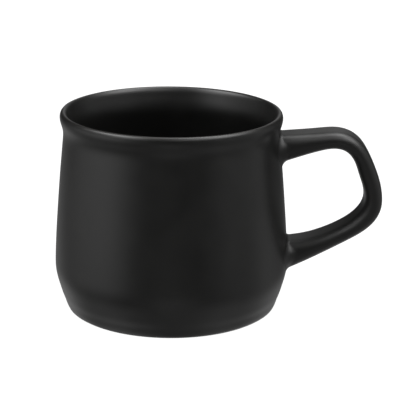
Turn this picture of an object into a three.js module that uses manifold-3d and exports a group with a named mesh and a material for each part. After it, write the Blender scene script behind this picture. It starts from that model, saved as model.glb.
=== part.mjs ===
// A free-standing stoneware mug with a flared lip, a bevelled foot and one strap handle.
// Units are millimetres, +Z is up, +X points from the body's axis towards the handle.
// The origin is on the body's axis, at the plane that the foot ring stands on.
import * as THREE from "three";
import { mergeVertices } from "three/addons/utils/BufferGeometryUtils.js";
import Module from "manifold-3d";

const wasm = await Module();
wasm.setup();

// ---------------------------------------------------------------- driving dimensions
const HEIGHT = 82.0; // foot plane to the top of the lip
const BELLY_R = 48.0; // widest radius of the body, just above the bevelled foot
const LIP_R = 45.1; // widest radius of the flared lip
const NECK_R = 43.85; // narrowest outside radius, under the lip
const LIP_CREST_R = 43.75; // radius at which the lip is highest
const MOUTH_R = 42.3; // inside radius just below the lip's rounding
const FOOT_R = 42.4; // outer edge of the foot ring's flat
const FOOT_RING_W = 4.2; // width of the foot ring's flat
const FOOT_RECESS = 0.8; // depth of the recess inside the foot ring
const FLOOR_TOP = 6.6; // inside floor, above the foot plane
const INNER_CORNER_R = 10.5; // radius where the wall meets the floor inside

const STRAP_WIDTH = 16.0; // handle, across (along Y)
const STRAP_EDGE_R = 2.8; // rounding of the strap's long edges

const SLIP_CLEAR = 0.3; // gap between the body and a slip layer, and between a slip layer and the handle
const SLIP_T = 0.8; // thickness of a slip layer
const SLIP_MARGIN = 0.7; // how far a slip layer is squeezed out past the handle's section

const AROUND = 72; // facets around the body

// Outside of the body from the foot to the lip, as [radius, height].
const OUTER = [
  [43.15, 0.55],
  [43.65, 1.6],
  [44.45, 4.0],
  [45.35, 6.4],
  [46.15, 9.0],
  [46.85, 11.4],
  [47.42, 13.6],
  [47.82, 15.8],
  [BELLY_R, 18.4],
  [47.93, 21.6],
  [47.75, 25.4],
  [47.46, 30.5],
  [47.0, 37.0],
  [46.45, 44.0],
  [45.87, 51.0],
  [45.25, 58.0],
  [44.6, 64.5],
  [44.15, 69.0],
  [NECK_R, 72.6],
  [43.98, 74.6],
  [44.4, 76.3],
  [44.88, 77.9],
  [LIP_R, 79.3],
  [45.0, 80.5],
  [44.55, 81.45],
];

// Inside of the wall from the lip down to the start of the floor's corner.
const INNER = [
  [43.0, 81.6],
  [MOUTH_R, 80.7],
  [41.75, 79.1],
  [41.1, 77.0],
  [40.45, 74.6],
  [40.1, 72.0],
  [40.25, 68.5],
  [40.75, 62.5],
  [41.55, 53.0],
  [42.3, 43.0],
  [42.95, 33.0],
  [43.4, 24.0],
];
const INNER_R = 43.45; // inside radius where the floor's corner begins

// Centre-plane outline of the handle: its outside, from the upper end to the lower end.
const STRAP_OUT = [
  [50.3, 73.04],
  [55.6, 73.44],
  [60.9, 73.94],
  [63.9, 74.2],
  [66.25, 74.27],
  [68.9, 74.05],
  [71.47, 73.38],
  [73.88, 72.27],
  [76.01, 70.7],
  [77.81, 68.75],
  [79.32, 66.55],
  [80.63, 64.2],
  [81.82, 61.8],
  [82.88, 59.38],
  [83.86, 56.93],
  [84.72, 54.4],
  [85.4, 51.83],
  [85.87, 49.21],
  [86.12, 46.56],
  [86.03, 43.9],
  [85.42, 41.31],
  [84.32, 38.88],
  [82.81, 36.7],
  [80.96, 34.8],
  [78.89, 33.13],
  [76.65, 31.64],
  [74.37, 30.31],
  [69.68, 27.77],
  [64.98, 25.26],
  [60.27, 22.8],
  [55.51, 20.39],
  [50.7, 18.1],
];
// ... and its inside, the edge of the finger gap, from the lower end to the upper end.
const STRAP_IN = [
  [50.4, 28.0],
  [52.82, 28.3],
  [54.98, 28.7],
  [57.11, 29.21],
  [61.29, 30.54],
  [65.35, 32.17],
  [69.28, 34.12],
  [73.01, 36.42],
  [76.32, 39.3],
  [77.69, 41.0],
  [78.79, 42.92],
  [79.42, 45.0],
  [79.54, 47.17],
  [79.2, 49.34],
  [78.62, 51.46],
  [77.88, 53.55],
  [77.16, 55.6],
  [76.46, 57.68],
  [75.74, 59.75],
  [74.92, 61.76],
  [73.86, 63.68],
  [72.48, 65.4],
  [70.78, 66.76],
  [68.77, 67.6],
  [66.6, 67.92],
  [64.41, 67.84],
  [62.24, 67.5],
  [60.11, 66.98],
  [55.91, 65.78],
  [51.7, 64.46],
  [48.9, 63.5],
];

// ---------------------------------------------------------------- helpers
const v2 = (p) => new THREE.Vector2(p[0], p[1]);

// A closed geometry as a solid: only positions, shared vertices merged.
function solid(geometry) {
  const g = geometry.clone();
  g.deleteAttribute("normal");
  g.deleteAttribute("uv");
  const m = mergeVertices(g, 1e-4);
  return new wasm.Manifold(
    new wasm.Mesh({
      numProp: 3,
      vertProperties: m.attributes.position.array,
      triVerts: new Uint32Array(m.index.array),
    }),
  );
}

function geometryOf(s) {
  const m = s.getMesh();
  const g = new THREE.BufferGeometry();
  g.setAttribute(
    "position",
    new THREE.BufferAttribute(new Float32Array(m.vertProperties), 3),
  );
  g.setIndex(new THREE.BufferAttribute(new Uint32Array(m.triVerts), 1));
  g.computeVertexNormals();
  return g;
}

// A profile of [radius, height] points turned about the Z axis.
function turned(profile, around = AROUND) {
  const g = new THREE.LatheGeometry(profile.map(v2), around);
  g.rotateX(Math.PI / 2);
  return g;
}

// An arc of points about a centre, from one angle to another in degrees.
function arc(cx, cy, r, from, to, steps) {
  const pts = [];
  for (let i = 0; i <= steps; i++) {
    const a = THREE.MathUtils.degToRad(from + ((to - from) * i) / steps);
    pts.push([cx + r * Math.cos(a), cy + r * Math.sin(a)]);
  }
  return pts;
}

// Outside radius of the body at a height.
function outerRadius(z) {
  for (let i = 1; i < OUTER.length; i++) {
    const [r0, z0] = OUTER[i - 1];
    const [r1, z1] = OUTER[i];
    if (z <= z1) return r0 + ((r1 - r0) * (z - z0)) / (z1 - z0);
  }
  return OUTER[OUTER.length - 1][0];
}

// A solid of revolution that fills the body's outside, grown by an offset, over a range of heights.
function grownBody(offset, z0, z1, steps) {
  const profile = [[0, z0]];
  for (let i = 0; i <= steps; i++) {
    const z = z0 + ((z1 - z0) * i) / steps;
    const slope = (outerRadius(z + 0.5) - outerRadius(z - 0.5)) / 1.0;
    profile.push([outerRadius(z) + offset * Math.hypot(1, slope), z]);
  }
  profile.push([0, z1]);
  return solid(turned(profile));
}

// ---------------------------------------------------------------- body: wall, lip, floor and foot ring in one
const footIn = FOOT_R - FOOT_RING_W;
const bodyProfile = [
  [0, FOOT_RECESS],
  [footIn - 1.6, FOOT_RECESS],
  [footIn - 0.5, FOOT_RECESS - 0.2],
  [footIn, 0],
  [FOOT_R, 0],
  ...OUTER,
  [LIP_CREST_R, HEIGHT],
  ...INNER,
  ...arc(
    INNER_R - INNER_CORNER_R,
    FLOOR_TOP + INNER_CORNER_R,
    INNER_CORNER_R,
    0,
    -90,
    6,
  ),
  [0, FLOOR_TOP],
];
const bodySolid = solid(turned(bodyProfile));

// ---------------------------------------------------------------- handle: a strap with rounded long edges
const strapOutline = new THREE.Shape([
  v2([38.0, 72.1]),
  v2([44.0, 72.6]),
  ...STRAP_OUT.map(v2),
  v2([45.4, 15.7]),
  v2([38.0, 12.9]),
  v2([38.0, 27.0]),
  v2([46.0, 27.8]),
  ...STRAP_IN.map(v2),
  v2([46.9, 62.55]),
  v2([45.6, 61.1]),
  v2([38.0, 59.0]),
]);
const strap = new THREE.ExtrudeGeometry(strapOutline, {
  depth: STRAP_WIDTH - 2 * STRAP_EDGE_R,
  steps: 1,
  curveSegments: 1,
  bevelEnabled: true,
  bevelThickness: STRAP_EDGE_R,
  bevelSize: STRAP_EDGE_R,
  bevelOffset: -STRAP_EDGE_R,
  bevelSegments: 4,
});
strap.translate(0, 0, -(STRAP_WIDTH - 2 * STRAP_EDGE_R) / 2);
strap.rotateX(Math.PI / 2); // outline into the XZ plane, extrusion along Y
const strapSolid = solid(strap);
const HANDLE_GAP = 2 * SLIP_CLEAR + SLIP_T; // body to handle
const handleSolid = strapSolid.subtract(grownBody(HANDLE_GAP, 5, 80, 30));

// ---------------------------------------------------------------- slip layers: thin saddles between the body and the handle's two ends
// The section of the strap where it meets the body, grown by the margin, as a rounded outline in YZ.
function slip(zLow, zHigh) {
  const hw = STRAP_WIDTH / 2 + SLIP_MARGIN;
  const z0 = zLow - SLIP_MARGIN;
  const z1 = zHigh + SLIP_MARGIN;
  const r = STRAP_EDGE_R + SLIP_MARGIN;
  const outline = [
    ...arc(hw - r, z1 - r, r, 0, 90, 5),
    ...arc(-hw + r, z1 - r, r, 90, 180, 5),
    ...arc(-hw + r, z0 + r, r, 180, 270, 5),
    ...arc(hw - r, z0 + r, r, 270, 360, 5),
  ];
  const block = new THREE.ExtrudeGeometry(new THREE.Shape(outline.map(v2)), {
    depth: 30,
    steps: 1,
    bevelEnabled: false,
  });
  // shape X,Y become Y,Z and the extrusion runs along X
  const toYZ = new THREE.Matrix4().makeBasis(
    new THREE.Vector3(0, 1, 0),
    new THREE.Vector3(0, 0, 1),
    new THREE.Vector3(1, 0, 0),
  );
  block.applyMatrix4(toYZ);
  block.translate(30, 0, 0);
  const zl = z0 - 4;
  const zh = z1 + 4;
  return solid(block)
    .intersect(grownBody(SLIP_CLEAR + SLIP_T, zl, zh, 16))
    .subtract(grownBody(SLIP_CLEAR, zl - 1, zh + 1, 16));
}
const upperSlip = slip(61.6, 72.7);
const lowerSlip = slip(16.6, 28.0);

// ---------------------------------------------------------------- scene graph
const glaze = () =>
  new THREE.MeshStandardMaterial({
    color: 0x1c1c1b,
    roughness: 0.5,
    metalness: 0.0,
  });

const mug = new THREE.Group();
mug.name = "mug";
for (const [name, s] of [
  ["mug_body", bodySolid],
  ["handle", handleSolid],
  ["handle_slip_upper", upperSlip],
  ["handle_slip_lower", lowerSlip],
]) {
  const mesh = new THREE.Mesh(geometryOf(s), glaze());
  mesh.name = name;
  mug.add(mesh);
}

export default mug;
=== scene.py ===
import math

import bpy
import numpy as np
from mathutils import Matrix, Vector


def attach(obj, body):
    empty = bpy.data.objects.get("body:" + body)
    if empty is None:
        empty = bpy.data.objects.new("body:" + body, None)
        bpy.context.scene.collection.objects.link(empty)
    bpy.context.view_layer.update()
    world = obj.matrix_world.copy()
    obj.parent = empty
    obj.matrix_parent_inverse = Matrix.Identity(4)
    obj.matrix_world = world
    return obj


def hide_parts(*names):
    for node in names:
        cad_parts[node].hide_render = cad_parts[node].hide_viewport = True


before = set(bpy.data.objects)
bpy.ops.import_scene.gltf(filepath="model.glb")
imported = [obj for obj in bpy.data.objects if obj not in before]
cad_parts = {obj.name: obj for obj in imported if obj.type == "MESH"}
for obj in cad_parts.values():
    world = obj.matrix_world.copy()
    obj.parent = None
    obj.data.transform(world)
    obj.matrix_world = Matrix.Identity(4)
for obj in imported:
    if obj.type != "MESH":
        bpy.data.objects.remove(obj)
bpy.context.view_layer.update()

MM = 0.001

# ------------------------------------------------------------------ design numbers, mm, the same as the CAD model's
HEIGHT = 82.0
FOOT_R = 42.4
FOOT_RING_W = 4.2
FOOT_RECESS = 0.8
FLOOR_TOP = 6.6
INNER_CORNER_R = 10.5
INNER_R = 43.45
STRAP_W = 16.0
STRAP_SOFT_W = 4.0  # the strap's edges round off over this much of its width
COAT_OUT, COAT_IN = 0.3, 0.5  # what the glaze adds on the strap's outside and inside faces, to make up for the soft edges

OUTER = [
    (43.15, 0.55), (43.65, 1.6), (44.45, 4.0), (45.35, 6.4), (46.15, 9.0), (46.85, 11.4), (47.42, 13.6),
    (47.82, 15.8), (48.0, 18.4), (47.93, 21.6), (47.75, 25.4), (47.46, 30.5), (47.0, 37.0), (46.45, 44.0),
    (45.87, 51.0), (45.25, 58.0), (44.6, 64.5), (44.15, 69.0), (43.85, 72.6), (43.98, 74.6), (44.4, 76.3),
    (44.88, 77.9), (45.1, 79.3), (45.0, 80.5), (44.55, 81.45),
]
CREST = (43.75, 82.0)
INNER = [
    (43.0, 81.6), (42.3, 80.7), (41.75, 79.1), (41.1, 77.0), (40.45, 74.6), (40.1, 72.0), (40.25, 68.5),
    (40.75, 62.5), (41.55, 53.0), (42.3, 43.0), (42.95, 33.0), (43.4, 24.0),
]
STRAP_OUT = [
    (40.0, 72.25), (46.5, 72.76), (50.3, 73.04), (55.6, 73.44), (60.9, 73.94), (63.9, 74.2), (66.25, 74.27), (68.9, 74.05),
    (71.47, 73.38), (73.88, 72.27), (76.01, 70.7), (77.81, 68.75), (79.32, 66.55), (80.63, 64.2),
    (81.82, 61.8), (82.88, 59.38), (83.86, 56.93), (84.72, 54.4), (85.4, 51.83), (85.87, 49.21),
    (86.12, 46.56), (86.03, 43.9), (85.42, 41.31), (84.32, 38.88), (82.81, 36.7), (80.96, 34.8),
    (78.89, 33.13), (76.65, 31.64), (74.37, 30.31), (69.68, 27.77), (64.98, 25.26), (60.27, 22.8),
    (55.51, 20.39), (50.7, 18.08), (44.0, 15.05),
]
STRAP_IN = [
    (40.0, 60.35), (45.6, 62.37), (48.9, 63.5), (51.7, 64.43), (55.91, 65.78), (60.11, 66.98), (62.24, 67.5), (64.41, 67.84),
    (66.6, 67.92), (68.77, 67.6), (70.78, 66.76), (72.48, 65.4), (73.86, 63.68), (74.92, 61.76),
    (75.74, 59.75), (76.46, 57.68), (77.16, 55.6), (77.88, 53.55), (78.62, 51.46), (79.2, 49.34),
    (79.54, 47.17), (79.42, 45.0), (78.79, 42.92), (77.69, 41.0), (76.32, 39.3), (73.01, 36.42),
    (69.28, 34.12), (65.35, 32.17), (61.29, 30.54), (57.11, 29.21), (54.98, 28.7), (52.82, 28.3),
    (50.4, 27.95), (44.0, 27.35),
]


# ------------------------------------------------------------------ curves
def natural_spline(t, y, q):
    """Natural cubic spline through (t, y), at q."""
    t, y = np.asarray(t, float), np.asarray(y, float)
    n = len(t)
    h = np.diff(t)
    a = np.zeros((n, n))
    b = np.zeros((n,) + y.shape[1:])
    a[0, 0] = a[-1, -1] = 1
    for i in range(1, n - 1):
        a[i, i - 1], a[i, i], a[i, i + 1] = h[i - 1], 2 * (h[i - 1] + h[i]), h[i]
        b[i] = 6 * ((y[i + 1] - y[i]) / h[i] - (y[i] - y[i - 1]) / h[i - 1])
    m = np.linalg.solve(a, b)
    k = np.clip(np.searchsorted(t, q, side="right") - 1, 0, n - 2)
    hk = h[k]
    u, v = t[k + 1] - q, q - t[k]
    if y.ndim == 2:
        hk, u, v = hk[:, None], u[:, None], v[:, None]
    return (m[k] * u**3 + m[k + 1] * v**3) / (6 * hk) + (y[k] / hk - m[k] * hk / 6) * u + (y[k + 1] / hk - m[k + 1] * hk / 6) * v


def smooth_curve(points, n, relax=0.0, power=None):
    """n points evenly spaced along a smooth curve through the points."""
    p = np.array(points, float)
    t = np.r_[0, np.cumsum(np.linalg.norm(np.diff(p, axis=0), axis=1))]
    fine = np.linspace(0, t[-1], 4000)
    c = natural_spline(t, p, fine)
    if relax > 0:
        step = t[-1] / 3999
        w = int(max(1, 3 * relax / step))
        k = np.exp(-0.5 * ((np.arange(-w, w + 1) * step) / relax) ** 2)
        k /= k.sum()
        pad = np.concatenate([2 * c[0] - c[w:0:-1], c, 2 * c[-1] - c[-2 : -w - 2 : -1]])
        c = np.stack([np.convolve(pad[:, i], k, "valid") for i in range(2)], 1)
    d = np.r_[0, np.cumsum(np.linalg.norm(np.diff(c, axis=0), axis=1))]
    q = np.linspace(0, d[-1], n)
    return np.stack([np.interp(q, d, c[:, 0]), np.interp(q, d, c[:, 1])], 1)


def arc(cx, cy, r, a0, a1, n):
    a = np.radians(np.linspace(a0, a1, n))
    return np.stack([cx + r * np.cos(a), cy + r * np.sin(a)], 1)


# ------------------------------------------------------------------ body profile
FOOT_IN = FOOT_R - FOOT_RING_W
wall = smooth_curve(OUTER + [CREST] + INNER + [(INNER_R, FLOOR_TOP + INNER_CORNER_R + 0.6)], 210, relax=0.5)
wall = wall[:-1]
corner = arc(INNER_R - INNER_CORNER_R, FLOOR_TOP + INNER_CORNER_R, INNER_CORNER_R, 0, -90, 22)
# the inside floor lies flat at FLOOR_TOP, from the corner in to the axis
floor_r = np.linspace(INNER_R - INNER_CORNER_R, 0, 16)[1:]
floor = np.stack([floor_r, np.full(len(floor_r), FLOOR_TOP)], 1)
under_r = np.r_[np.linspace(0, FOOT_IN - 2.2, 14)[1:]]
under = np.stack([under_r, np.full(len(under_r), FOOT_RECESS)], 1)
step_in = arc(FOOT_IN - 2.2, FOOT_RECESS - 1.1, 1.1, 90, 28, 6)[1:]
ring_in = arc(FOOT_IN + 0.45, 0.45, 0.45, 200, 270, 6)
ring_flat = np.stack([np.linspace(FOOT_IN + 0.45, FOOT_R - 0.25, 10), np.zeros(10)], 1)[1:]
ring_out = arc(FOOT_R - 0.25, 0.6, 0.6, -90, -18, 7)[1:]
profile = np.concatenate([under, step_in, ring_in, ring_flat, ring_out, wall, corner, floor])
n_under = len(under) + len(step_in)

# outer radius by height, for the joints
_w = wall[: int(np.argmax(wall[:, 1]))]
_w = np.concatenate([ring_out[-1:], _w])


def body_r(z):
    return np.interp(z, _w[:, 1], _w[:, 0])


def body_slope(z):
    return (body_r(z + 0.4) - body_r(z - 0.4)) / 0.8


# ------------------------------------------------------------------ mesh helpers
def build(name, verts, faces, mats, face_mat=None, attrs=None, sharp=None):
    me = bpy.data.meshes.new(name)
    me.from_pydata([tuple(v) for v in np.asarray(verts) * MM], [], faces)
    for m in mats:
        me.materials.append(m)
    if face_mat is not None:
        me.polygons.foreach_set("material_index", np.asarray(face_mat, np.int32))
    me.polygons.foreach_set("use_smooth", np.ones(len(me.polygons), bool))
    for key, values in (attrs or {}).items():
        a = me.attributes.new(key, "FLOAT", "POINT")
        a.data.foreach_set("value", np.asarray(values, np.float32))
    me.update()
    me.validate()
    ob = bpy.data.objects.new(name, me)
    bpy.context.scene.collection.objects.link(ob)
    if sharp is not None:
        e = me.attributes.get("sharp_edge") or me.attributes.new("sharp_edge", "BOOLEAN", "EDGE")
        flags = np.zeros(len(me.edges), bool)
        for i, ed in enumerate(me.edges):
            flags[i] = sharp(ed.vertices[0], ed.vertices[1])
        e.data.foreach_set("value", flags)
    return ob


# ------------------------------------------------------------------ materials
def node_tools(name):
    m = bpy.data.materials.new(name)
    m.use_nodes = True
    nt = m.node_tree
    nt.nodes.clear()
    out = nt.nodes.new("ShaderNodeOutputMaterial")
    bsdf = nt.nodes.new("ShaderNodeBsdfPrincipled")
    nt.links.new(bsdf.outputs["BSDF"], out.inputs["Surface"])

    def add(kind, **props):
        n = nt.nodes.new(kind)
        for k, v in props.items():
            setattr(n, k, v)
        return n

    def noise(scale, detail=3.0, rough=0.5, coords=None, distort=0.0):
        n = add("ShaderNodeTexNoise")
        n.inputs["Scale"].default_value = scale
        n.inputs["Detail"].default_value = detail
        n.inputs["Roughness"].default_value = rough
        n.inputs["Distortion"].default_value = distort
        nt.links.new(coords, n.inputs["Vector"])
        return n

    def remap(src, a, b, c, d, smooth=False):
        n = add("ShaderNodeMapRange")
        if smooth:
            n.interpolation_type = "SMOOTHSTEP"
        for key, v in zip(("From Min", "From Max", "To Min", "To Max"), (a, b, c, d)):
            n.inputs[key].default_value = v
        nt.links.new(src, n.inputs["Value"])
        return n.outputs["Result"]

    def math_(op, a, b=None):
        n = add("ShaderNodeMath", operation=op)
        for i, v in enumerate((a, b)):
            if v is None:
                continue
            if isinstance(v, (int, float)):
                n.inputs[i].default_value = v
            else:
                nt.links.new(v, n.inputs[i])
        return n.outputs[0]

    def mix(fac, a, b):
        n = add("ShaderNodeMix", data_type="RGBA")
        for key, v in ((0, fac), (6, a), (7, b)):
            if isinstance(v, (int, float)):
                n.inputs[key].default_value = v
            elif isinstance(v, tuple):
                n.inputs[key].default_value = (*v, 1.0)
            else:
                nt.links.new(v, n.inputs[key])
        return n.outputs[2]

    return m, nt, bsdf, add, noise, remap, math_, mix


GLAZE = dict(base=(0.0038, 0.0038, 0.0036), light=(0.0051, 0.0051, 0.0048), edge=(0.0085, 0.0078, 0.007), rough=0.34, ior=1.5, spec=0.5)


def glaze_material():
    m, nt, bsdf, add, noise, remap, math_, mix = node_tools("satin_black_glaze")
    obj = add("ShaderNodeTexCoord").outputs["Object"]
    # slow mottling where the glaze pooled or thinned, over 8 to 20 mm
    cloud = noise(70, 3, 0.55, obj, 0.4).outputs["Fac"]
    # a fine crystalline grain, about half a millimetre
    grain = noise(1900, 2, 0.6, obj).outputs["Fac"]
    thin = add("ShaderNodeAttribute", attribute_name="thin").outputs["Fac"]
    base = mix(remap(cloud, 0.35, 0.68, 0, 1, True), GLAZE["base"], GLAZE["light"])
    edge = math_("MULTIPLY", thin, remap(noise(160, 2, 0.5, obj).outputs["Fac"], 0.3, 0.7, 0.55, 1.0))
    base = mix(edge, base, GLAZE["edge"])
    # sparse paler flecks of 0.2 mm in the matt surface
    vor = add("ShaderNodeTexVoronoi", feature="F1")
    vor.inputs["Scale"].default_value = 420
    nt.links.new(obj, vor.inputs["Vector"])
    fleck = math_("MULTIPLY", remap(vor.outputs["Distance"], 0.0, 0.09, 1, 0), remap(noise(95, 1, 0.5, obj).outputs["Fac"], 0.55, 0.7, 0.0, 0.35))
    base = mix(fleck, base, (0.02, 0.0195, 0.018))
    nt.links.new(base, bsdf.inputs["Base Color"])
    r = math_("ADD", remap(cloud, 0.3, 0.7, GLAZE["rough"] - 0.008, GLAZE["rough"] + 0.014), remap(grain, 0.3, 0.7, -0.015, 0.015))
    r = math_("SUBTRACT", r, math_("MULTIPLY", thin, 0.02))
    # the strap was sponged down before glazing, so it is a little more matt than the turned body
    sponged = add("ShaderNodeAttribute", attribute_name="sponged").outputs["Fac"]
    r = math_("ADD", r, math_("MULTIPLY", sponged, 0.07))
    nt.links.new(r, bsdf.inputs["Roughness"])
    bsdf.inputs["IOR"].default_value = GLAZE["ior"]
    bsdf.inputs["Specular IOR Level"].default_value = GLAZE["spec"]
    # surface relief: a faint orange peel of 3 mm, and the grain
    peel = noise(300, 2, 0.5, obj).outputs["Fac"]
    b1 = add("ShaderNodeBump")
    b1.inputs["Strength"].default_value = 1.0
    b1.inputs["Distance"].default_value = 0.000005
    nt.links.new(peel, b1.inputs["Height"])
    b2 = add("ShaderNodeBump")
    b2.inputs["Strength"].default_value = 1.0
    b2.inputs["Distance"].default_value = 0.000004
    nt.links.new(grain, b2.inputs["Height"])
    nt.links.new(b1.outputs["Normal"], b2.inputs["Normal"])
    nt.links.new(b2.outputs["Normal"], bsdf.inputs["Normal"])
    return m


def clay_material():
    m, nt, bsdf, add, noise, remap, math_, mix = node_tools("bare_stoneware")
    obj = add("ShaderNodeTexCoord").outputs["Object"]
    sand = noise(1400, 4, 0.65, obj).outputs["Fac"]
    tone = noise(120, 2, 0.5, obj).outputs["Fac"]
    c = mix(remap(sand, 0.35, 0.7, 0, 1), (0.46, 0.40, 0.33), (0.62, 0.56, 0.48))
    c = mix(remap(tone, 0.4, 0.7, 0, 0.35), c, (0.40, 0.34, 0.27))
    iron = add("ShaderNodeTexVoronoi", feature="F1")
    iron.inputs["Scale"].default_value = 900
    nt.links.new(obj, iron.inputs["Vector"])
    speck = math_("MULTIPLY", remap(iron.outputs["Distance"], 0.0, 0.12, 1, 0), remap(noise(260, 1, 0.5, obj).outputs["Fac"], 0.55, 0.62, 0, 1))
    c = mix(speck, c, (0.12, 0.08, 0.05))
    nt.links.new(c, bsdf.inputs["Base Color"])
    nt.links.new(remap(sand, 0.3, 0.7, 0.82, 0.95), bsdf.inputs["Roughness"])
    b = add("ShaderNodeBump")
    b.inputs["Strength"].default_value = 1.0
    b.inputs["Distance"].default_value = 0.00006
    nt.links.new(sand, b.inputs["Height"])
    nt.links.new(b.outputs["Normal"], bsdf.inputs["Normal"])
    return m


glaze = glaze_material()
clay = clay_material()

# ------------------------------------------------------------------ body
AROUND = 224


def body_piece():
    n = len(profile)
    th = np.linspace(0, 2 * math.pi, AROUND, endpoint=False)
    r = profile[:, 0][:, None]
    z = profile[:, 1][:, None]
    c, s = np.cos(th)[None], np.sin(th)[None]
    # fired unevenness: a hair out of round, slow waves up the wall, fading out at the foot and at the axis
    w = np.clip((z - 3) / 25, 0, 1) * np.clip(r / 30, 0, 1)
    dr = w * (0.05 * np.cos(2 * th + 0.7)[None] * (z / HEIGHT) + 0.018 * np.sin(3 * th + z * 0.055) + 0.012 * np.sin(5 * th[None] - z * 0.09 + 1.3))
    rr = r + dr
    x, y = rr * c, rr * s
    zz = z - math.tan(math.radians(RIM_TILT)) * x * np.clip(z / HEIGHT, 0, 1)
    zz = np.where(z < 1.0, z, zz)
    pts = np.stack([x, y, np.broadcast_to(zz, x.shape)], -1).reshape(-1, 3)
    verts = [(0, 0, FOOT_RECESS)] + pts.tolist()
    # the last ring is at the axis: drop it and use one vertex
    last = 1 + (n - 1) * AROUND
    verts = verts[:last] + [(0, 0, FLOOR_TOP)]
    faces, fm = [], []
    for j in range(AROUND):
        k = (j + 1) % AROUND
        faces.append((0, 1 + k, 1 + j))
        fm.append(0)
    for i in range(n - 2):
        a = 1 + i * AROUND
        mat = 1 if n_under <= i < n_under + len(ring_in) + len(ring_flat) - 1 else 0
        for j in range(AROUND):
            k = (j + 1) % AROUND
            faces.append((a + j, a + k, a + AROUND + k, a + AROUND + j))
            fm.append(mat)
    a = 1 + (n - 2) * AROUND
    top = len(verts) - 1
    for j in range(AROUND):
        k = (j + 1) % AROUND
        faces.append((a + j, a + k, top))
        fm.append(0)
    # where the glaze runs thin: the lip's crest and the foot's edge
    prof_thin = np.zeros(n)
    for i, (pr, pz) in enumerate(profile):
        lip = math.exp(-(((pr - 43.9) / 1.1) ** 2) - ((pz - 81.9) / 0.8) ** 2)
        foot = math.exp(-((pz - 0.5) / 0.5) ** 2) if pr > 40 else 0.0
        prof_thin[i] = max(lip, 0.8 * foot)
    thin = np.concatenate([[0], np.repeat(prof_thin[:-1], AROUND), [0]])
    return build("mug_body_shell", verts, faces, [glaze, clay], fm, {"thin": thin})


RIM_TILT = 0.29
body = body_piece()
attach(body, "root")
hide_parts("mug_body")

# ------------------------------------------------------------------ handle
N_ALONG = 260


def strap_grid():
    o = smooth_curve(STRAP_OUT, 1200, relax=0.9)
    q = smooth_curve(STRAP_IN, 2400, relax=0.7)
    # partner of each outside point: the inside point at the same share of a smoothed nearest-point map
    d2 = ((o[:, None, :] - q[None, :, :]) ** 2).sum(-1)
    near = np.maximum.accumulate(np.argmin(d2, 1)).astype(float)
    near[0], near[-1] = 0, len(q) - 1
    k = np.exp(-0.5 * (np.arange(-90, 91) / 30.0) ** 2)
    k /= k.sum()
    pad = np.concatenate([2 * near[0] - near[90:0:-1], near, 2 * near[-1] - near[-2:-92:-1]])
    near = np.convolve(pad, k, "valid")
    near = np.clip(near, 0, len(q) - 1)
    inner = np.stack([np.interp(near, np.arange(len(q)), q[:, i]) for i in range(2)], 1)
    mid = (o + inner) / 2
    d = np.r_[0, np.cumsum(np.linalg.norm(np.diff(mid, axis=0), axis=1))]
    t = np.interp(np.linspace(0, d[-1], N_ALONG), d, np.arange(len(o)))
    O = np.stack([np.interp(t, np.arange(len(o)), o[:, i]) for i in range(2)], 1)
    I = np.stack([np.interp(t, np.arange(len(o)), inner[:, i]) for i in range(2)], 1)
    return O, I


def section(h, w, rw, n_arc=17, crown=0.14):
    """Soft-edged strap of half thickness h and half width w, from the middle of the outside face round: (thickness, width) pairs."""
    rt = h - 0.1
    pts = []
    flat_w = np.linspace(0, w - rw, 6)
    for s in flat_w[:-1]:
        pts.append((h, s))
    for a in np.linspace(90, 0, n_arc):
        a = math.radians(a)
        pts.append((h - rt + rt * math.sin(a), w - rw + rw * math.cos(a)))
    for a in np.linspace(0, -90, n_arc):
        a = math.radians(a)
        pts.append((-h + rt + rt * math.sin(a), w - rw + rw * math.cos(a)))
    for s in flat_w[::-1][1:-1]:
        pts.append((-h, s))
    half = np.array(pts + [(-h, 0)])
    other = half[1:-1][::-1] * np.array([1, -1])
    p = np.concatenate([half, other])
    # crown the two broad faces a little, and take the stiffness out of the corners
    p[:, 0] -= np.sign(p[:, 0]) * crown * (p[:, 1] / w) ** 2 * (np.abs(p[:, 0]) / h)
    m = p.copy()
    for _ in range(2):
        m = 0.25 * np.roll(m, 1, 0) + 0.5 * m + 0.25 * np.roll(m, -1, 0)
    return m


OUT_G, IN_G = strap_grid()
SEC_N = len(section(3.25, STRAP_W / 2, STRAP_SOFT_W))


def strap_point_grid():
    g = np.zeros((N_ALONG, SEC_N, 3))
    for i in range(N_ALONG):
        o, q = OUT_G[i], IN_G[i]
        a = (o - q) / np.linalg.norm(o - q)
        o = o + a * (COAT_OUT - 0.3 * max(0.0, a[0]) + 0.3 * max(0.0, -a[1]))
        q = q - a * COAT_IN
        mid = (o + q) / 2
        h = float(np.linalg.norm(o - q)) / 2
        sec = section(h, STRAP_W / 2, STRAP_SOFT_W)
        g[i, :, 0] = mid[0] + a[0] * sec[:, 0]
        g[i, :, 2] = mid[1] + a[1] * sec[:, 0]
        g[i, :, 1] = -sec[:, 1]
    return g


GRID = strap_point_grid()


def sdist(p):
    """Distance outside the body's wall (positive outside), along the radius."""
    return np.hypot(p[..., 0], p[..., 1]) - body_r(p[..., 2])


def column_cut(col, from_start, depth):
    """Index position (float) along a column where it is `depth` outside the wall, seen from one end."""
    s = sdist(col) - depth
    idx = range(len(s) - 1) if from_start else range(len(s) - 2, -1, -1)
    for i in idx:
        a, b = (s[i], s[i + 1])
        if from_start and a <= 0 < b:
            return i + a / (a - b)
        if not from_start and b <= 0 < a:
            return i + a / (a - b)
    raise RuntimeError("a strap column doesn't reach the wall")


def at(col, t):
    i = int(np.clip(math.floor(t), 0, len(col) - 2))
    f = t - i
    return col[i] * (1 - f) + col[i + 1] * f


SINK = -0.9  # the strap's ends stop this far inside the wall's surface


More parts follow.
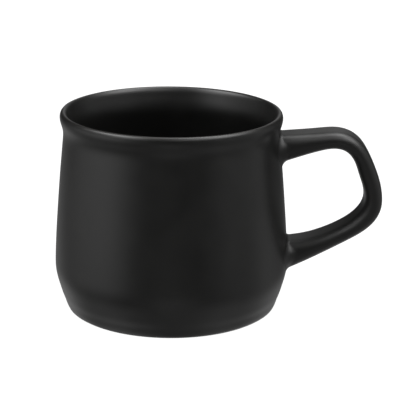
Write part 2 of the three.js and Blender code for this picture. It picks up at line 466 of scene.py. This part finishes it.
def handle_piece():
    cols = []
    for j in range(SEC_N):
        col = GRID[:, j]
        t0 = column_cut(col, True, SINK)
        t1 = column_cut(col, False, SINK)
        cols.append([at(col, t) for t in np.linspace(t0, t1, N_ALONG)])
    g = np.array(cols).transpose(1, 0, 2)
    verts = g.reshape(-1, 3).tolist()
    faces = []
    for i in range(N_ALONG - 1):
        for j in range(SEC_N):
            k = (j + 1) % SEC_N
            faces.append((i * SEC_N + j, i * SEC_N + k, (i + 1) * SEC_N + k, (i + 1) * SEC_N + j))
    verts.append(tuple(g[0].mean(0)))
    verts.append(tuple(g[-1].mean(0)))
    a, b = len(verts) - 2, len(verts) - 1
    for j in range(SEC_N):
        k = (j + 1) % SEC_N
        faces.append((a, k, j))
        faces.append((b, (N_ALONG - 1) * SEC_N + j, (N_ALONG - 1) * SEC_N + k))
    # the glaze is thin on the strap's four long edges
    sec = section(3.25, STRAP_W / 2, STRAP_SOFT_W)
    e = np.minimum(np.abs(sec[:, 0]) / 3.25, 1) * np.clip((np.abs(sec[:, 1]) - 4.5) / 3.0, 0, 1)
    e = np.clip((e - 0.2) / 0.6, 0, 1) * 0.3
    thin = np.concatenate([np.tile(e, N_ALONG), [0, 0]])
    # both ends and the lower arm were worked over longest, where the slip was wiped off
    from_end = np.minimum(np.arange(N_ALONG), np.arange(N_ALONG)[::-1])
    low = np.clip((np.arange(N_ALONG) / N_ALONG - 0.5) / 0.15, 0, 1)
    sponged = np.repeat(1.0 + 0.9 * np.maximum(np.exp(-((from_end / 26.0) ** 2)), low * low * (3 - 2 * low)), SEC_N)
    return build("handle_strap", verts, faces, [glaze], None, {"thin": thin, "sponged": np.r_[sponged, 1.9, 1.9]})


handle = handle_piece()
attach(handle, "root")
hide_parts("handle")


# ------------------------------------------------------------------ slip joints: the fillet drawn round each end of the strap
def ease(u):
    return u * u * (3 - 2 * u)


def slip_piece(name, from_start, r_top, r_side, r_under):
    n_arc = 14
    rows = []
    # middle of the joint, to tell top from underside
    cuts = []
    for j in range(SEC_N):
        col = GRID[:, j]
        cuts.append(at(col, column_cut(col, from_start, 0.0)))
    cuts = np.array(cuts)
    centre = cuts.mean(0)
    span = (cuts[:, 2].max() - cuts[:, 2].min()) / 2
    for j in range(SEC_N):
        col = GRID[:, j]
        t = column_cut(col, from_start, 0.0)
        q = at(col, t)
        # direction of the column away from the wall
        step = 1.0 if from_start else -1.0
        away = at(col, t + 3 * step) - q
        away /= np.linalg.norm(away)
        nz = body_slope(q[2])
        rad = np.array([q[0], q[1], 0]) / np.hypot(q[0], q[1])
        nb = rad - np.array([0, 0, nz])
        nb /= np.linalg.norm(nb)
        # outward normal of the strap there, then the direction along the wall away from the strap
        tang = cuts[(j + 1) % SEC_N] - cuts[j - 1]
        nh = np.cross(away, tang)
        nh /= np.linalg.norm(nh)
        if np.dot(nh, q - centre) < 0:
            nh = -nh
        along = nh - nb * np.dot(nh, nb)
        along /= np.linalg.norm(along)
        u = np.clip((q[2] - centre[2]) / span, -1, 1)
        rho = r_side + (r_top - r_side) * ease(max(u, 0)) + (r_under - r_side) * ease(max(-u, 0))
        open_angle = math.acos(np.clip(np.dot(away, along), -1, 1))
        length = rho / math.tan(open_angle / 2)
        # point on the strap, at that length along its column
        tt, acc, p0 = t, 0.0, q
        while acc < length:
            nt_ = tt + 0.25 * step
            if nt_ < 0 or nt_ > len(col) - 1:
                break
            p1 = at(col, nt_)
            acc += np.linalg.norm(p1 - p0)
            p0, tt = p1, nt_
        b = q + along * length
        z = b[2]
        rb = body_r(z)
        b = np.array([*(b[:2] / np.hypot(b[0], b[1]) * rb), z])
        h_pt = p0 - nh * 0.012
        b_pt = b - nb * 0.012
        k = 4 / 3 * math.tan((math.pi - open_angle) / 4) / math.tan((math.pi - open_angle) / 2) if open_angle < 3.0 else 0.66
        # leave both surfaces along their tangents
        rb_dir = np.array([b[0], b[1], 0]) / rb
        nwb = rb_dir - np.array([0, 0, body_slope(z)])
        nwb /= np.linalg.norm(nwb)
        to_b = q - b_pt
        to_b = to_b - nwb * np.dot(to_b, nwb)
        c0 = h_pt + (q - h_pt) * k
        c1 = b_pt + to_b * k
        s = np.linspace(0, 1, n_arc)[:, None]
        curve = (1 - s) ** 3 * h_pt + 3 * (1 - s) ** 2 * s * c0 + 3 * (1 - s) * s**2 * c1 + s**3 * b_pt
        deep = q - nh * 0.35 - nb * 0.35
        rows.append(np.concatenate([curve, deep[None]]))
    rows = np.array(rows)
    m = n_arc + 1
    verts = rows.reshape(-1, 3).tolist()
    faces = []
    for j in range(SEC_N):
        k = (j + 1) % SEC_N
        for i in range(m):
            l = (i + 1) % m
            f = (j * m + i, k * m + i, k * m + l, j * m + l)
            faces.append(f)
    hidden = {n_arc}

    def sharp(a, b):
        ia, ib = a % m, b % m
        return (ia == ib and ia in (0, n_arc - 1, n_arc))

    ob = build(name, verts, faces, [glaze], None, {"thin": np.zeros(len(verts)), "sponged": np.full(len(verts), 1.9)}, sharp)
    # faces point outwards
    import bmesh
    bm = bmesh.new()
    bm.from_mesh(ob.data)
    bmesh.ops.recalc_face_normals(bm, faces=bm.faces)
    bm.to_mesh(ob.data)
    bm.free()
    return ob


slip_hi = slip_piece("slip_fillet_upper", True, 1.4, 5.4, 3.7)
slip_lo = slip_piece("slip_fillet_lower", False, 1.5, 6.0, 3.0)
for ob, node in ((slip_hi, "handle_slip_upper"), (slip_lo, "handle_slip_lower")):
    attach(ob, "root")
    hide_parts(node)

# ------------------------------------------------------------------ stage, light, camera
def stage_sweep():
    """A pale floor that curves up into a low wall all round, lit from inside like a light table."""
    m = bpy.data.materials.new("stage_white")
    m.use_nodes = True
    b = m.node_tree.nodes["Principled BSDF"]
    b.inputs["Base Color"].default_value = (*FLOOR_ALBEDO, 1)
    b.inputs["Roughness"].default_value = 0.9
    b.inputs["Specular IOR Level"].default_value = 0.0
    b.inputs["Emission Color"].default_value = (1, 1, 1, 1)
    b.inputs["Emission Strength"].default_value = FLOOR_GLOW
    rim = [(0.0, 0.0), (0.4, 0.0), (1.0, 0.0), (2.0, 0.0)]
    rim += [(2.0 + 0.6 * math.sin(t), 0.6 - 0.6 * math.cos(t)) for t in np.radians(np.linspace(6, 90, 15))]
    rim.append((2.6, 1.1))
    n = 96
    verts = [(0, 0, 0)]
    faces = []
    for i, (r, z) in enumerate(rim[1:]):
        for k in range(n):
            t = 2 * math.pi * k / n
            verts.append((r * math.cos(t), r * math.sin(t), z))
        for k in range(n):
            q = (k + 1) % n
            if i == 0:
                faces.append((0, 1 + k, 1 + q))
            else:
                c = 1 + (i - 1) * n
                faces.append((c + k, c + n + k, c + n + q, c + q))
    me = bpy.data.meshes.new("stage_sweep")
    me.from_pydata(verts, [], faces)
    me.materials.append(m)
    me.polygons.foreach_set("use_smooth", np.ones(len(me.polygons), bool))
    ob = bpy.data.objects.new("stage_sweep", me)
    bpy.context.scene.collection.objects.link(ob)
    ob.location = (0, 0, -0.00005)
    # the glaze mirrors the studio's own soft boxes and table light, which the world gives below
    ob.visible_glossy = False
    ob.visible_shadow = False
    return ob


FLOOR_ALBEDO = (0.1, 0.1, 0.1)
FLOOR_GLOW = 0.97
stage_sweep()

sc = bpy.context.scene

# Soft boxes round the mug: azimuth in degrees (0 in front, 90 at the handle's side, 180 behind), elevation, sharpness, radiance.
SOFT_BOXES = [
    (135, 71, 32, 9.768), (64, 49, 32, 5.379), (275, 49, 32, 5.310), (277, 60, 32, 5.146), (306, 38, 32, 3.925),
    (85, 49, 32, 3.660), (21, 49, 32, 2.356), (150, -49, 16, 0.994), (270, -65, 16, 0.918), (300, -3, 16, 0.891),
    (216, -34, 16, 0.589), (173, 17, 32, 0.440), (280, -3, 16, 0.434), (260, -3, 16, 0.430), (100, 12, 16, 0.428),
    (60, -3, 16, 0.422), (0, -34, 16, 0.412), (90, -65, 16, 0.384), (106, -18, 16, 0.347), (60, -49, 16, 0.304),
    (180, 34, 24, 0.200), (180, -17, 20, 0.450),
]


def studio_world():
    w = bpy.data.worlds.new("studio")
    sc.world = w
    w.use_nodes = True
    nt = w.node_tree
    bg = nt.nodes["Background"]
    bg.inputs["Color"].default_value = (1, 1, 1, 1)
    way = nt.nodes.new("ShaderNodeTexCoord").outputs["Generated"]

    def math_node(op, a, b):
        n = nt.nodes.new("ShaderNodeMath")
        n.operation = op
        for i, v in enumerate((a, b)):
            if isinstance(v, (int, float)):
                n.inputs[i].default_value = v
            elif v is not None:
                nt.links.new(v, n.inputs[i])
        return n.outputs[0]

    total = 0.0
    for az, el, k, power in SOFT_BOXES:
        a, e = math.radians(az), math.radians(el)
        d = nt.nodes.new("ShaderNodeVectorMath")
        d.operation = "DOT_PRODUCT"
        nt.links.new(way, d.inputs[0])
        d.inputs[1].default_value = (math.sin(a) * math.cos(e), -math.cos(a) * math.cos(e), math.sin(e))
        x = math_node("MULTIPLY_ADD", d.outputs["Value"], float(k))
        x.node.inputs[2].default_value = float(-k)
        x = math_node("EXPONENT", x, None)
        y = math_node("MULTIPLY_ADD", x, float(power))
        if isinstance(total, float):
            y.node.inputs[2].default_value = 0.0
        else:
            nt.links.new(total, y.node.inputs[2])
        total = y
    nt.links.new(total, bg.inputs["Strength"])


studio_world()

# camera: looks slightly down on the mug from the front
E = math.radians(17.2)
K = 96.0 / 95.0
DIST = 625.7 * K * MM
X0, Z0 = -14.85 * K * MM, -40.2 * K * MM
ROLL = math.radians(-0.483)
cam_d = bpy.data.cameras.new("camera")
cam = bpy.data.objects.new("camera", cam_d)
sc.collection.objects.link(cam)
cam_d.sensor_width = 36.0
cam_d.sensor_fit = "HORIZONTAL"
cam_d.lens = 1535.6 / 416 * 36.0
cam_d.dof.use_dof = False
cam_d.clip_start, cam_d.clip_end = 0.01, 20
target = Vector((-X0, 0, -Z0))
pos = target + Vector((0, -math.cos(E), math.sin(E))) * DIST
fwd = (target - pos).normalized()
right = Vector((1, 0, 0))
up = right.cross(fwd).normalized()
rot = Matrix((right, up, -fwd)).transposed().to_4x4()
cam.matrix_world = Matrix.Translation(pos) @ rot @ Matrix.Rotation(-ROLL, 4, "Z")
sc.camera = cam
sc.view_settings.view_transform = "Standard"
sc.view_settings.look = "None"
sc.view_settings.exposure = 0.0
sc.view_settings.gamma = 1.0
